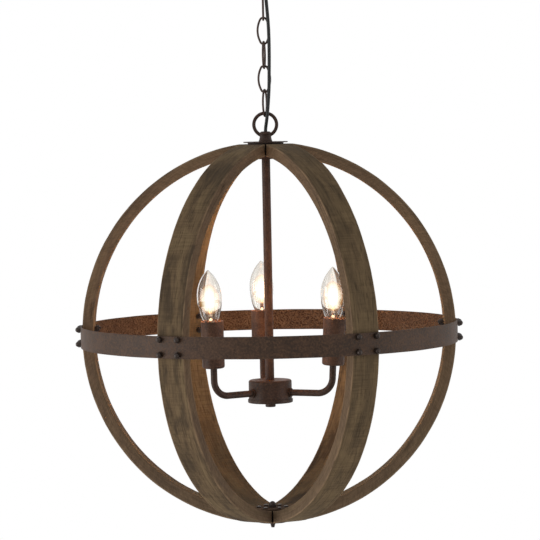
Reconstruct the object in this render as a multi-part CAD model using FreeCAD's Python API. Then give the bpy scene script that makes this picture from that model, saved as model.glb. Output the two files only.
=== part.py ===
import FreeCAD, Part
import math
import os

# An open wooden globe that hangs on a chain, with three candle lamps inside.
# Millimetres, +Z up. The origin is on the ceiling, in the middle of the fixing bracket, and the
# viewer stands on the -Y side. Heights inside the globe are measured from the globe's own centre.

# ---- clearances and fits ----
thread_fit = 0.05  # radial, between a screw and its nut
hole_fit = 0.15  # radial, between a plain hole and what passes through it
seat_gap = 0.05  # between a flat face and the highest point of a curved one
running_fit = 0.1  # radial, between a lamp's cap and its socket
hang_gap = 0.2  # between two wires of the chain
cut_past = 1.0  # how far a hole is cut past the faces that it opens in

# ---- ceiling fitting ----
bracket_width = 22.0
bracket_thickness = 2.0
slot_spacing = 76.0
slot_length = 14.0
slot_width = 4.5
bracket_end = 5.0  # from a slot to the bracket's end
canopy_radius = 57.5
canopy_depth = 26.0
canopy_wall = 1.2
canopy_edge_radius = 14.0
nipple_radius = 5.0
nipple_bore = 3.2
nipple_recess = 0.5  # how far the nipple stops short of the ceiling
nipple_nut_flats = 14.0
nipple_nut_height = 3.0
window_width = 6.0  # the opening in the nipple's side that the cores come out of
window_height = 6.0
window_drop = 10.0
terminal_length = 16.0
terminal_width = 20.0
terminal_height = 11.0
terminal_gap = 1.5  # between the terminal block and the nipple's nut
core_radius = 0.8
core_pitch = 2.0
core_count = 3

# ---- rings with a hub: one under the canopy, one on top of the globe ----
ring_radius = 16.15
ring_wire = 2.45
ring_height = 24.0  # from the hub's base to the ring's centre
hub_height = 14.3
hub_foot_radius = 9.5
hub_foot_height = 1.5
hub_waist_radius = 8.3
hub_waist_height = 6.2
hub_shoulder_radius = 8.9
hub_shoulder_height = 10.8
hub_bore = 3.4
hub_thread_depth = 7.0

# ---- chain ----
link_length = 40.2
link_width = 19.6
link_wire = 1.5
link_end_radius = 5.0  # of the wire's centre line
link_turns = (90.0, 0.0, 80.0, 0.0, 72.0)  # from the ceiling down, about the vertical

# ---- flex ----
flex_radius = 2.4
flex_corner_share = 0.45  # how much of each run its bends may take at either end
flex_route = (  # from the globe's hub up to the canopy's hub, heights from the base of the globe's hub
    (0.0, 0.0, 4.4),
    (0.0, 0.0, 16.4),
    (2.1, -4.6, 28.9),
    (3.6, -6.3, 40.4),
    (5.0, -6.1, 55.4),
    (6.5, -5.6, 75.4),
    (7.0, -5.2, 96.4),
    (7.6, -4.9, 120.4),
    (7.7, -5.1, 144.4),
    (7.1, -5.2, 166.4),
    (5.7, -5.6, 186.4),
    (4.5, -5.7, 202.9),
    (3.3, -4.7, 214.4),
    (0.0, 0.0, 225.9),
    (0.0, 0.0, 238.4),
)

# ---- globe ----
rib_strays = (0.0, 0.0, -0.9, 0.0, 0.2, 0.2)  # of each rib from its even bearing, in degrees
globe_radius = 265.0
globe_half_height = 270.7
rib_width = 41.8
rib_thickness = 16.8
rib_seam = 2.0
top_seat_radius = 38.0
bottom_seat_radius = 23.0
band_height = 30.2
band_thickness = 2.0
band_gap = 0.27
band_drop = 0.7

# ---- fasteners through the band ----
bolt_radius = 2.0
bolt_across = 28.4
bolt_up = 20.6
bolt_stand_out = 2.2  # past the lock nut
bolt_entry = 4.2  # into the dome nut
dome_nut_flats = 7.8
dome_nut_height = 3.3
locknut_flats = 7.0
locknut_height = 5.0

# ---- plates and screws at the two poles ----
cover_disc_radius = 31.5
cover_disc_thickness = 1.4
clamp_disc_radius = 25.5
clamp_disc_thickness = 2.3
inner_plate_radius = 25.3
inner_plate_thickness = 2.0
plate_screw_circle = 19.4
plate_screw_radius = 1.75
plate_screw_head_radius = 3.2
plate_screw_head_height = 2.2
plate_screw_head_rounding = 1.3
plate_screw_length = 12.0
bottom_disc_radius = 21.0
bottom_disc_thickness = 1.6
stud_radius = 2.5
bottom_dome_flats = 9.4
bottom_dome_height = 4.2
cap_nut_top_radius = 4.4
cap_nut_tip_radius = 2.2
cap_nut_height = 8.0
cap_nut_entry = 2.5

# ---- rod and cluster ----
rod_radius = 6.0
rod_bore = 4.0
rod_nut_flats = 17.0
rod_nut_height = 4.0
cluster_radius = 30.7
cluster_wall = 1.5
cluster_top = -67.5
cluster_height = 27.5
cluster_edge_radius = 3.0
base_radius = 32.0
base_thickness = 5.0
base_edge_radius = 1.5
finial_radius = 7.3
finial_height = 6.5
finial_stem_length = 10.0

# ---- arms ----
arm_radius = 4.75
arm_bore = 3.25
arm_axis = -85.3
arm_reach = 97.0  # of the upright part, where it is measured
arm_reach_height = -60.0
arm_bend = 23.0
arm_end = 4.0  # past the nut in the sleeve
ferrule_radius = 6.5
ferrule_length = 2.2
arm_nut_radius = 7.0
arm_nut_length = 2.9
wire_radius = 1.8
wire_end = 10.0  # past the end of the arm
connector_radius = 3.5
connector_start = 12.0
connector_length = 9.0

# ---- candles: name, bearing from the viewer, outward lean of the sleeve and of the lamp ----
candle_angles = (
    ("right", 66.4, 3.2, 0.9),
    ("left", -53.6, 1.0, 3.0),
    ("back", 186.4, 1.0, 1.0),
)
sleeve_radius = 15.75
sleeve_wall = 1.2
sleeve_feet = {"right": -45.0, "left": -45.0, "back": -41.7}
sleeve_height = 66.5
sleeve_edge_radius = 3.5
sleeve_nut_flats = 14.0
sleeve_nut_height = 4.0
holder_radius = 10.5
holder_height = 50.0
holder_gap = 0.65
holder_base_bore = 5.6
holder_base_depth = 5.0
holder_wire_bore = 3.0

# ---- lamps ----
cap_radius = 6.95
cap_height = 19.5
cap_contact_radius = 3.0
cap_contact_height = 1.8
neck_radius = 6.9
neck_drop = 6.5  # below the sleeve's top
glass_radius = 17.5
glass_belly = 34.5  # above the sleeve's top
glass_tip = 72.5  # above the sleeve's top
glass_tip_radius = 2.2
glass_wall = 0.8
stem_radius = 2.6
stem_height = 22.0
filament_count = 4
filament_radius = 0.9
filament_length = 36.0
filament_foot_circle = 5.2
filament_head_circle = 3.2
carrier_thickness = 0.7

ORIGIN = FreeCAD.Vector(0, 0, 0)
X_AXIS = FreeCAD.Vector(1, 0, 0)
Y_AXIS = FreeCAD.Vector(0, 1, 0)
Z_AXIS = FreeCAD.Vector(0, 0, 1)


# ---- what follows from the sizes ----


def ellipse_height(radius, half_height, distance):
    """How high an ellipse's outline is at a distance from its upright axis."""
    return half_height * math.sqrt(1 - (distance / radius) ** 2)


inner_radius = globe_radius - rib_thickness
inner_half_height = globe_half_height - rib_thickness
top_seat = ellipse_height(globe_radius, globe_half_height, top_seat_radius)
bottom_seat = -ellipse_height(globe_radius, globe_half_height, bottom_seat_radius)
inner_seat = ellipse_height(inner_radius, inner_half_height, inner_plate_radius) - seat_gap
hub_base = top_seat + clamp_disc_thickness + cover_disc_thickness
bracket_length = slot_spacing + slot_length + 2 * bracket_end
cluster_bottom = cluster_top - cluster_height

link_half = link_length / 2 - link_wire  # from a link's centre to the middle of its end wire
canopy_ring = -canopy_depth - ring_height
ring_hang = ring_wire + link_wire + hang_gap
link_step = 2 * link_half - (2 * link_wire + hang_gap)
first_link = canopy_ring - ring_radius + ring_hang - link_half
link_centres = [first_link - number * link_step for number in range(len(link_turns))]
globe_ring = link_centres[-1] - link_half + ring_hang - ring_radius
globe_centre = globe_ring - ring_height - hub_base

band_inner = math.hypot(globe_radius, rib_width / 2) + band_gap
band_outer = band_inner + band_thickness
rib_count = len(rib_strays)
rib_turns = [360.0 / rib_count * number + stray for number, stray in enumerate(rib_strays)]


# ---- shapes ----


def vector(x, y, z):
    return FreeCAD.Vector(x, y, z)


def cylinder(radius, low, high):
    """An upright cylinder on the Z axis."""
    return Part.makeCylinder(radius, high - low, vector(0, 0, low))


def bar(radius, start, end, side=0.0, height=0.0):
    """A cylinder along X."""
    return Part.makeCylinder(radius, end - start, vector(start, side, height), X_AXIS)


def pipe(outer, inner, low, high):
    return cylinder(outer, low, high).cut(cylinder(inner, low, high))


def hexagon(flats, low, high):
    """An upright hexagonal prism, flats across two sides."""
    corner = flats / 2 / math.cos(math.pi / 6)
    ring = [math.pi / 3 * side for side in range(7)]
    corners = [vector(corner * math.cos(a), corner * math.sin(a), low) for a in ring]
    return Part.Face(Part.makePolygon(corners)).extrude(vector(0, 0, high - low))


def nut(flats, bore, low, high):
    return hexagon(flats, low, high).cut(cylinder(bore, low, high))


def rounded_disc(radius, low, high, rounding):
    """A cylinder whose lower edge is rounded."""
    disc = cylinder(radius, low, high)
    edges = [edge for edge in disc.Edges if edge.Closed and edge.CenterOfMass.z < (low + high) / 2]
    return disc.makeFillet(rounding, edges)


def cup(radius, wall, low, high, rounding):
    """An open cup with a rounded foot."""
    inside = rounded_disc(radius - wall, low + wall, high, rounding - wall)
    return rounded_disc(radius, low, high, rounding).cut(inside)


def revolved(edges):
    """A closed outline in the XZ plane, turned about Z."""
    return Part.Face(Part.Wire(Part.__sortEdges__(edges))).revolve(ORIGIN, Z_AXIS, 360)


def line(start, end):
    return Part.LineSegment(start, end).toShape()


def arc(start, middle, end):
    return Part.Arc(start, middle, end).toShape()


def flat_point(distance, height):
    return vector(distance, 0, height)


def polyline(points):
    """Straight edges from point to point."""
    return [line(first, second) for first, second in zip(points, points[1:])]


def swept(edges, radius):
    """A round bar along a path that starts at its first edge."""
    path = Part.Wire(edges)
    start = edges[0].valueAt(edges[0].FirstParameter)
    direction = edges[0].tangentAt(edges[0].FirstParameter)
    profile = Part.Wire(Part.Circle(start, direction, radius).toShape())
    return path.makePipeShell([profile], True, False)


def turned(shape, degrees):
    """A copy turned about the Z axis."""
    copy = shape.copy()
    copy.rotate(ORIGIN, Z_AXIS, degrees)
    return copy


def shifted(shape, x=0.0, y=0.0, z=0.0):
    copy = shape.copy()
    copy.translate(vector(x, y, z))
    return copy


def around(shape, turns):
    return [turned(shape, turn) for turn in turns]


# ---- ceiling fitting, in heights from the ceiling ----


def ceiling_bracket():
    bracket = Part.makeBox(
        bracket_length,
        bracket_width,
        bracket_thickness,
        vector(-bracket_length / 2, -bracket_width / 2, -bracket_thickness),
    )
    for side in (-1, 1):
        bracket = bracket.cut(slot(side * slot_spacing / 2))
    return bracket.cut(cylinder(nipple_radius + thread_fit, -bracket_thickness, 0))


def slot(x):
    """The space of one fixing slot, its long side along X."""
    half = (slot_length - slot_width) / 2
    middle = Part.makeBox(
        2 * half, slot_width, bracket_thickness, vector(x - half, -slot_width / 2, -bracket_thickness)
    )
    ends = [
        shifted(cylinder(slot_width / 2, -bracket_thickness, 0), x + side * half) for side in (-1, 1)
    ]
    return middle.multiFuse(ends)


def nipple():
    """The threaded tube that joins the bracket, the canopy and the canopy's hub."""
    low = -canopy_depth - hub_thread_depth
    tube = pipe(nipple_radius, nipple_bore, low, -nipple_recess)
    window = Part.makeBox(
        nipple_radius,
        window_width,
        window_height,
        vector(0, -window_width / 2, -window_drop - window_height),
    )
    return tube.cut(window)


def nipple_nuts():
    bore = nipple_radius + thread_fit
    under_bracket = nut(
        nipple_nut_flats, bore, -bracket_thickness - nipple_nut_height, -bracket_thickness
    )
    floor = -canopy_depth + canopy_wall
    on_canopy = nut(nipple_nut_flats, bore, floor, floor + nipple_nut_height)
    return [under_bracket, on_canopy]


def canopy_cup():
    shell = cup(canopy_radius, canopy_wall, -canopy_depth, 0, canopy_edge_radius)
    return shell.cut(cylinder(nipple_radius + hole_fit, -canopy_depth, 0))


def terminal_start():
    return nipple_nut_flats / 2 / math.cos(math.pi / 6) + terminal_gap


def core_height():
    return -window_drop - window_height / 2


def core_places():
    return [core_pitch * (number - (core_count - 1) / 2) for number in range(core_count)]


def terminal_block():
    block = Part.makeBox(
        terminal_length,
        terminal_width,
        terminal_height,
        vector(terminal_start(), -terminal_width / 2, -bracket_thickness - terminal_height),
    )
    bore = core_radius + hole_fit
    end = terminal_start() + terminal_length
    for side in core_places():
        block = block.cut(bar(bore, terminal_start(), end, side, terminal_core_height()))
    return block


def terminal_core_height():
    """The height of the holes that the cores go into."""
    return max(core_height(), -bracket_thickness - terminal_height + 2 * core_radius)


def rose_wiring():
    """The end of the flex in the nipple, and its cores on their way to the terminal block."""
    sheath_end = core_height() - window_height / 2
    pieces = [cylinder(flex_radius, flex_top(), sheath_end)]
    entry = terminal_start() + terminal_length / 2
    for side in core_places():
        corner = vector(0, side, terminal_core_height())
        riser = Part.makeCylinder(
            core_radius, terminal_core_height() - sheath_end, vector(0, side, sheath_end)
        )
        core = bar(core_radius, 0, entry, side, terminal_core_height())
        pieces.append(riser.multiFuse([core, Part.makeSphere(core_radius, corner)]))
    return pieces


def hub_with_ring(thread_radius):
    """A turned hub with a round ring on it, standing on Z = 0 with the ring in the XZ plane."""
    foot = flat_point(hub_foot_radius, hub_foot_height)
    shoulder = flat_point(hub_shoulder_radius, hub_shoulder_height)
    crown = flat_point(hub_bore, hub_height)
    cheek = flat_point(
        hub_bore + (hub_shoulder_radius - hub_bore) * math.cos(math.pi / 4),
        hub_shoulder_height + (hub_height - hub_shoulder_height) * math.sin(math.pi / 4),
    )
    outline = [
        line(flat_point(0, 0), flat_point(hub_foot_radius, 0)),
        line(flat_point(hub_foot_radius, 0), foot),
        arc(foot, flat_point(hub_waist_radius, hub_waist_height), shoulder),
        arc(shoulder, cheek, crown),
        line(crown, flat_point(0, hub_height)),
        line(flat_point(0, hub_height), flat_point(0, 0)),
    ]
    ring = Part.makeTorus(ring_radius, ring_wire, vector(0, 0, ring_height), Y_AXIS)
    body = revolved(outline).fuse(ring)
    body = body.cut(cylinder(hub_bore, -cut_past, hub_height + cut_past))
    return body.cut(cylinder(thread_radius + thread_fit, -cut_past, hub_thread_depth))


def canopy_loop():
    loop = hub_with_ring(nipple_radius)
    loop.rotate(ORIGIN, X_AXIS, 180)
    return shifted(loop, z=-canopy_depth)


# ---- chain and flex ----


def chain_link(centre, turn):
    """An oval link of round wire, standing in the XZ plane and then turned about Z."""
    half_long = link_length / 2 - link_wire
    half_wide = link_width / 2 - link_wire
    end_centre = half_long - link_end_radius
    side_radius = (end_centre**2 + half_wide**2 - link_end_radius**2) / (
        2 * (half_wide - link_end_radius)
    )
    side_centre = side_radius - half_wide
    length = math.hypot(side_centre, end_centre)
    join_x = side_radius * side_centre / length - side_centre
    join_z = side_radius * end_centre / length
    right_top = flat_point(join_x, join_z)
    left_top = flat_point(-join_x, join_z)
    left_bottom = flat_point(-join_x, -join_z)
    right_bottom = flat_point(join_x, -join_z)
    edges = [
        arc(right_top, flat_point(0, half_long), left_top),
        arc(left_top, flat_point(-half_wide, 0), left_bottom),
        arc(left_bottom, flat_point(0, -half_long), right_bottom),
        arc(right_bottom, flat_point(half_wide, 0), right_top),
    ]
    return shifted(turned(swept(edges, link_wire), turn), z=centre)


def flex_points():
    return [vector(x, y, z + hub_base + globe_centre) for x, y, z in flex_route]


def flex_top():
    return flex_points()[-1].z


def flex_cord():
    """The free flex between the two hubs: straight runs joined by tangent arcs."""
    points = flex_points()
    edges = []
    start = points[0]
    radii = []
    for before, corner, after in zip(points, points[1:], points[2:]):
        back = before - corner
        on = after - corner
        turn = math.pi - back.getAngle(on)
        reach = flex_corner_share * min(back.Length, on.Length)
        radii.append(reach / math.tan(turn / 2))
        first = corner + back.normalize() * reach
        last = corner + on.normalize() * reach
        inward = (back + on).normalize()
        to_middle = radii[-1] / math.cos(turn / 2) - radii[-1]
        edges += [line(start, first), arc(first, corner + inward * to_middle, last)]
        start = last
    edges.append(line(start, points[-1]))
    tube = swept(edges, flex_radius)
    length = sum(edge.Length for edge in edges)
    plain = length * math.pi * flex_radius**2
    print("flex: length", round(length, 1), "volume over plain volume", round(tube.Volume / plain, 4))
    print("flex: bend radii", [round(radius) for radius in radii])
    return tube


# ---- globe, in heights from its centre ----


def elliptical_disc(radius, half_height):
    """A flat block with an elliptical outline in the XZ plane, as wide as a rib."""
    across = vector(radius, 0, 0)
    up = vector(0, 0, half_height)
    major, minor = (up, across) if half_height >= radius else (across, up)
    outline = Part.Wire(Part.Ellipse(major, minor, ORIGIN).toShape())
    block = Part.Face(outline).extrude(vector(0, rib_width, 0))
    return shifted(block, y=-rib_width / 2)


def rib_sector():
    """The sector that one rib may fill, mitred against its neighbours."""
    half_angle = math.pi / rib_count
    tip = rib_seam / 2 / math.sin(half_angle)
    far = globe_radius + rib_width
    wide = (far - tip) * math.tan(half_angle)
    low = -globe_half_height - rib_width
    corners = [vector(tip, 0, low), vector(far, wide, low), vector(far, -wide, low), vector(tip, 0, low)]
    return Part.Face(Part.makePolygon(corners)).extrude(vector(0, 0, -2 * low))


def bolt_places():
    """Where the four bolts of a rib are: sideways and up."""
    return [
        (side * bolt_across / 2, up * bolt_up / 2 - band_drop) for side in (-1, 1) for up in (-1, 1)
    ]


def plain_rib():
    """One bent wooden rib that lies along +X."""
    rib = elliptical_disc(globe_radius, globe_half_height)
    rib = rib.cut(elliptical_disc(inner_radius, inner_half_height))
    rib = rib.common(rib_sector())
    wide = globe_radius + rib_width
    slab = Part.makeBox(wide, 2 * wide, top_seat - bottom_seat, vector(0, -wide, bottom_seat))
    rib = rib.common(slab)
    holes = [
        cylinder(rod_radius + hole_fit, 0, top_seat),
        cylinder(stud_radius + hole_fit, bottom_seat, 0),
    ]
    holes += [bar(bolt_radius + hole_fit, 0, globe_radius + cut_past, y, z) for y, z in bolt_places()]
    pilot = shifted(
        cylinder(plate_screw_radius + thread_fit, inner_seat, inner_seat + plate_screw_length),
        plate_screw_circle,
    )
    pilot_below = pilot.mirror(ORIGIN, Z_AXIS)
    return rib.cut(holes + [pilot, pilot_below])


def equator_band():
    low = -band_height / 2 - band_drop
    band = pipe(band_outer, band_inner, low, low + band_height)
    drills = []
    for y, z in bolt_places():
        drill = bar(bolt_radius + hole_fit, globe_radius / 2, band_outer + cut_past, y, z)
        drills += around(drill, rib_turns)
    return band.cut(drills)


def locknut_seat():
    """The rib's inner face at the far side of its lock nuts."""
    corner = locknut_flats / 2 / math.cos(math.pi / 6)
    height = bolt_up / 2 + band_drop + corner
    return ellipse_height(inner_half_height, inner_radius, height) - seat_gap


def dome_nut_seat():
    """The band's outer face at the near side of its dome nuts."""
    corner = dome_nut_flats / 2 / math.cos(math.pi / 6)
    return math.sqrt(band_outer**2 - max(bolt_across / 2 - corner, 0) ** 2) + seat_gap


def lying(shape, distance, y, z):
    """An upright piece laid along +X with its foot at a distance from the Z axis."""
    copy = shape.copy()
    copy.rotate(ORIGIN, Y_AXIS, 90)
    return shifted(copy, distance, y, z)


def dome_nut(flats, height, bore, depth):
    """A hexagonal nut with a round closed top, standing on Z = 0."""
    dome = Part.makeSphere(flats / 2, vector(0, 0, height)).common(
        cylinder(flats, height, height + flats)
    )
    return hexagon(flats, 0, height).fuse(dome).cut(cylinder(bore, 0, depth))


def band_bolts():
    start = locknut_seat() - locknut_height - bolt_stand_out
    end = dome_nut_seat() + bolt_entry
    bolts = []
    for y, z in bolt_places():
        bolts += around(bar(bolt_radius, start, end, y, z), rib_turns)
    return bolts


def band_dome_nuts():
    one = dome_nut(dome_nut_flats, dome_nut_height, bolt_radius + thread_fit, bolt_entry)
    nuts = []
    for y, z in bolt_places():
        nuts += around(lying(one, dome_nut_seat(), y, z), rib_turns)
    return nuts


def band_locknuts():
    one = nut(locknut_flats, bolt_radius + thread_fit, 0, locknut_height)
    nuts = []
    for y, z in bolt_places():
        nuts += around(lying(one, locknut_seat() - locknut_height, y, z), rib_turns)
    return nuts


def inner_plate(bore):
    """The plate behind the ribs' tips, with its upper face at the ribs."""
    plate = pipe(inner_plate_radius, bore + hole_fit, inner_seat - inner_plate_thickness, inner_seat)
    hole = shifted(
        cylinder(plate_screw_radius + hole_fit, inner_seat - inner_plate_thickness, inner_seat),
        plate_screw_circle,
    )
    return plate.cut(around(hole, rib_turns))


def plate_screws():
    """Twelve screws that hold the two inner plates to the ribs' tips."""
    face = inner_seat - inner_plate_thickness
    head = rounded_disc(
        plate_screw_head_radius, face - plate_screw_head_height, face, plate_screw_head_rounding
    )
    screw = head.fuse(cylinder(plate_screw_radius, face, inner_seat + plate_screw_length))
    upper = around(shifted(screw, plate_screw_circle), rib_turns)
    return upper + [piece.mirror(ORIGIN, Z_AXIS) for piece in upper]


def top_disc(radius, low, thickness):
    return pipe(radius, rod_radius + hole_fit, low, low + thickness)


def orb_loop():
    return shifted(hub_with_ring(rod_radius), z=hub_base)


def bottom_parts():
    """The outer disc, the stud through the ribs' tips and its two nuts."""
    plate_face = -inner_seat + inner_plate_thickness
    disc_low = bottom_seat - bottom_disc_thickness
    disc = pipe(bottom_disc_radius, stud_radius + hole_fit, disc_low, bottom_seat)
    stud = cylinder(stud_radius, disc_low - cap_nut_entry, plate_face + bottom_dome_height)
    inner_nut = shifted(
        dome_nut(bottom_dome_flats, bottom_dome_height, stud_radius + thread_fit, bottom_dome_height),
        z=plate_face,
    )
    cone = Part.makeCone(
        cap_nut_tip_radius, cap_nut_top_radius, cap_nut_height, vector(0, 0, disc_low - cap_nut_height)
    )
    cap_nut = cone.cut(cylinder(stud_radius + thread_fit, disc_low - cap_nut_entry, disc_low))
    return disc, stud, inner_nut, cap_nut


# ---- rod and cluster ----


def centre_rod():
    rod = pipe(rod_radius, rod_bore, cluster_bottom, hub_base + hub_thread_depth)
    for _, bearing, _, _ in candle_angles:
        rod = rod.cut(turned(bar(wire_radius + hole_fit, 0, 2 * rod_radius, 0, arm_axis), bearing - 90))
    return rod


def rod_nuts():
    bore = rod_radius + thread_fit
    under_plate = inner_seat - inner_plate_thickness
    inside_top = cluster_top - cluster_wall
    return [nut(rod_nut_flats, bore, top - rod_nut_height, top) for top in (under_plate, inside_top)]


def cluster_body():
    """The round box that the arms come out of, open at the bottom."""
    shell = cup(cluster_radius, cluster_wall, -cluster_top, -cluster_bottom, cluster_edge_radius)
    shell = shell.mirror(ORIGIN, Z_AXIS)
    shell = shell.cut(cylinder(rod_radius + hole_fit, cluster_bottom, cluster_top))
    for _, bearing, _, _ in candle_angles:
        hole = bar(arm_radius + hole_fit, cluster_radius / 2, cluster_radius + cut_past, 0, arm_axis)
        shell = shell.cut(turned(hole, bearing - 90))
    return shell


def cluster_base_plate():
    low = cluster_bottom - base_thickness
    plate = rounded_disc(base_radius, low, cluster_bottom, base_edge_radius)
    return plate.cut(cylinder(rod_bore, low, cluster_bottom))


def cluster_finial_screw():
    low = cluster_bottom - base_thickness
    head = rounded_disc(finial_radius, low - finial_height, low, base_edge_radius)
    stem = cylinder(rod_bore - thread_fit, low, low + finial_stem_length)
    return head.fuse(stem)


# ---- arms and candles, built along +X and then turned to their bearing ----


def foot_distance(lean, foot_height):
    """How far from the globe's axis the sleeve's foot is."""
    return arm_reach + (foot_height - arm_reach_height) * math.tan(math.radians(lean))


def arm_path(lean, foot_height, start, past_foot):
    """The arm's centre line, from a distance off the axis to a length past the sleeve's foot."""
    tilt = math.radians(lean)
    up = vector(math.sin(tilt), 0, math.cos(tilt))
    outward = vector(math.cos(tilt), 0, -math.sin(tilt))
    foot = vector(foot_distance(lean, foot_height), 0, foot_height)
    centre_z = arm_axis + arm_bend
    centre_x = (foot.dot(outward) - arm_bend + centre_z * math.sin(tilt)) / math.cos(tilt)
    centre = vector(centre_x, 0, centre_z)
    bend_start = centre - Z_AXIS * arm_bend
    bend_end = centre + outward * arm_bend
    middle = centre + (outward - Z_AXIS).normalize() * arm_bend
    return [
        line(vector(start, 0, arm_axis), bend_start),
        arc(bend_start, middle, bend_end),
        line(bend_end, foot + up * past_foot),
    ]


def arm_top():
    """How far past the sleeve's foot the arm ends."""
    return sleeve_wall + sleeve_nut_height + arm_end


def arm_start():
    return arm_nut_face() - arm_nut_length - seat_gap


def arm_nut_face():
    """The cluster's inner wall at the rim of an arm's nut."""
    return math.sqrt((cluster_radius - cluster_wall) ** 2 - arm_nut_radius**2) - seat_gap


def arm(name, bearing, lean):
    path = arm_path(lean, sleeve_feet[name], arm_start(), arm_top())
    outer = swept(path, arm_radius)
    bore = swept(path, arm_bore)
    return turned(outer.cut(bore), bearing - 90)


def arm_nuts():
    """For each arm a ferrule outside the cluster, a nut inside it and a nut in the sleeve."""
    pieces = []
    for name, bearing, lean, _ in candle_angles:
        bore = arm_radius + thread_fit
        outside = cluster_radius + seat_gap
        inside = arm_nut_face() - arm_nut_length
        ferrule = bar(ferrule_radius, outside, outside + ferrule_length, 0, arm_axis)
        ferrule = ferrule.cut(bar(bore, outside, outside + ferrule_length, 0, arm_axis))
        locknut = bar(arm_nut_radius, inside, inside + arm_nut_length, 0, arm_axis)
        locknut = locknut.cut(bar(bore, inside, inside + arm_nut_length, 0, arm_axis))
        pieces += [turned(piece, bearing - 90) for piece in (ferrule, locknut)]
        sleeve_nut = nut(sleeve_nut_flats, bore, sleeve_wall, sleeve_wall + sleeve_nut_height)
        pieces.append(placed(sleeve_nut, sleeve_place(name, bearing, lean)))
    return pieces


def lamp_wiring():
    """The flex inside the rod, and one wire from it through each arm to its lampholder."""
    pieces = [cylinder(flex_radius, arm_axis - wire_radius, flex_points()[0].z - globe_centre)]
    for name, bearing, lean, _ in candle_angles:
        path = arm_path(lean, sleeve_feet[name], flex_radius + seat_gap, arm_top() + wire_end)
        pieces.append(turned(swept(path, wire_radius), bearing - 90))
    return pieces


def wire_connectors():
    one = bar(connector_radius, connector_start, connector_start + connector_length, 0, arm_axis)
    one = one.cut(bar(wire_radius + thread_fit, 0, 2 * connector_start + connector_length, 0, arm_axis))
    return [turned(one, bearing - 90) for _, bearing, _, _ in candle_angles]


def leaning_place(foot, bearing, lean):
    """The place of a piece that stands on a point and leans outward."""
    turn = FreeCAD.Rotation(Z_AXIS, bearing - 90)
    tilt = FreeCAD.Rotation(Y_AXIS, lean)
    return FreeCAD.Placement(foot, turn * tilt)


def sleeve_place(name, bearing, lean):
    angle = math.radians(bearing)
    height = sleeve_feet[name]
    distance = foot_distance(lean, height)
    foot = vector(distance * math.sin(angle), -distance * math.cos(angle), height)
    return leaning_place(foot, bearing, lean)


def lamp_place(name, bearing, sleeve_lean, lamp_lean):
    """The lampholder stands on the nut in the sleeve, and may lean another way than the sleeve."""
    pivot = sleeve_place(name, bearing, sleeve_lean).multVec(vector(0, 0, lamp_base()))
    return leaning_place(pivot, bearing, lamp_lean)


def lamp_base():
    """The height of a lamp's own frame above the sleeve's foot."""
    return sleeve_wall + sleeve_nut_height


def placed(shape, place):
    copy = shape.copy()
    copy.Placement = place.multiply(copy.Placement)
    return copy


def candle_sleeve():
    shell = cup(sleeve_radius, sleeve_wall, 0, sleeve_height, sleeve_edge_radius)
    return shell.cut(cylinder(arm_radius + hole_fit, 0, sleeve_height))


def neck_height():
    """Where the glass stands on its cap, in the lamp's own frame."""
    return sleeve_height - lamp_base() - neck_drop


def cap_foot():
    return neck_height() - cap_height - cap_contact_height


def lampholder():
    top = holder_gap + holder_height
    holder = cylinder(holder_radius, holder_gap, top)
    spaces = [
        cylinder(cap_radius + running_fit, cap_foot() - seat_gap, top),
        cylinder(holder_base_bore, holder_gap, holder_gap + holder_base_depth),
        cylinder(holder_wire_bore, holder_gap, cap_foot() - 2 * cap_contact_height),
    ]
    return holder.cut(spaces)


def lamp_cap():
    """The screw cap with its contact, closed by the glass above it."""
    foot = cap_foot()
    shoulder = foot + cap_contact_height
    outline = polyline(
        [
            flat_point(0, foot),
            flat_point(cap_contact_radius, foot),
            flat_point(cap_contact_radius + cap_contact_height, shoulder),
            flat_point(cap_radius, shoulder + cap_contact_height),
            flat_point(cap_radius, neck_height()),
            flat_point(0, neck_height()),
            flat_point(0, foot),
        ]
    )
    return revolved(outline)


def glass_curves(wall):
    """The glass's outline from neck to tip: two large arcs and a small one, wall inside the outer."""
    zero = sleeve_height - lamp_base()
    belly = zero + glass_belly
    low_radius = ((glass_radius - neck_radius) ** 2 + (belly - neck_height()) ** 2) / (
        2 * (glass_radius - neck_radius)
    )
    rise = glass_tip - glass_tip_radius - glass_belly
    high_radius = (glass_radius**2 + rise**2 - glass_tip_radius**2) / (
        2 * (glass_radius - glass_tip_radius)
    )
    low_centre = flat_point(glass_radius - low_radius, belly)
    high_centre = flat_point(glass_radius - high_radius, belly)
    tip_centre = flat_point(0, zero + glass_tip - glass_tip_radius)
    neck_angle = math.asin((belly - neck_height()) / (low_radius - wall))
    tip_angle = math.atan2(rise, high_radius - glass_radius)

    def on_circle(centre, radius, angle):
        return centre + flat_point(radius * math.cos(angle), radius * math.sin(angle))

    low = low_radius - wall
    high = high_radius - wall
    small = glass_tip_radius - wall
    neck = on_circle(low_centre, low, -neck_angle)
    widest = flat_point(glass_radius - wall, belly)
    shoulder = on_circle(high_centre, high, tip_angle)
    tip = on_circle(tip_centre, small, math.pi / 2)
    curves = [
        arc(neck, on_circle(low_centre, low, -neck_angle / 2), widest),
        arc(widest, on_circle(high_centre, high, tip_angle / 2), shoulder),
        arc(shoulder, on_circle(tip_centre, small, (tip_angle + math.pi / 2) / 2), tip),
    ]
    return curves, neck, tip


def lamp_glass():
    outer, outer_neck, outer_tip = glass_curves(0)
    inner, inner_neck, inner_tip = glass_curves(glass_wall)
    return revolved(outer + inner + [line(outer_neck, inner_neck), line(outer_tip, inner_tip)])


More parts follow.
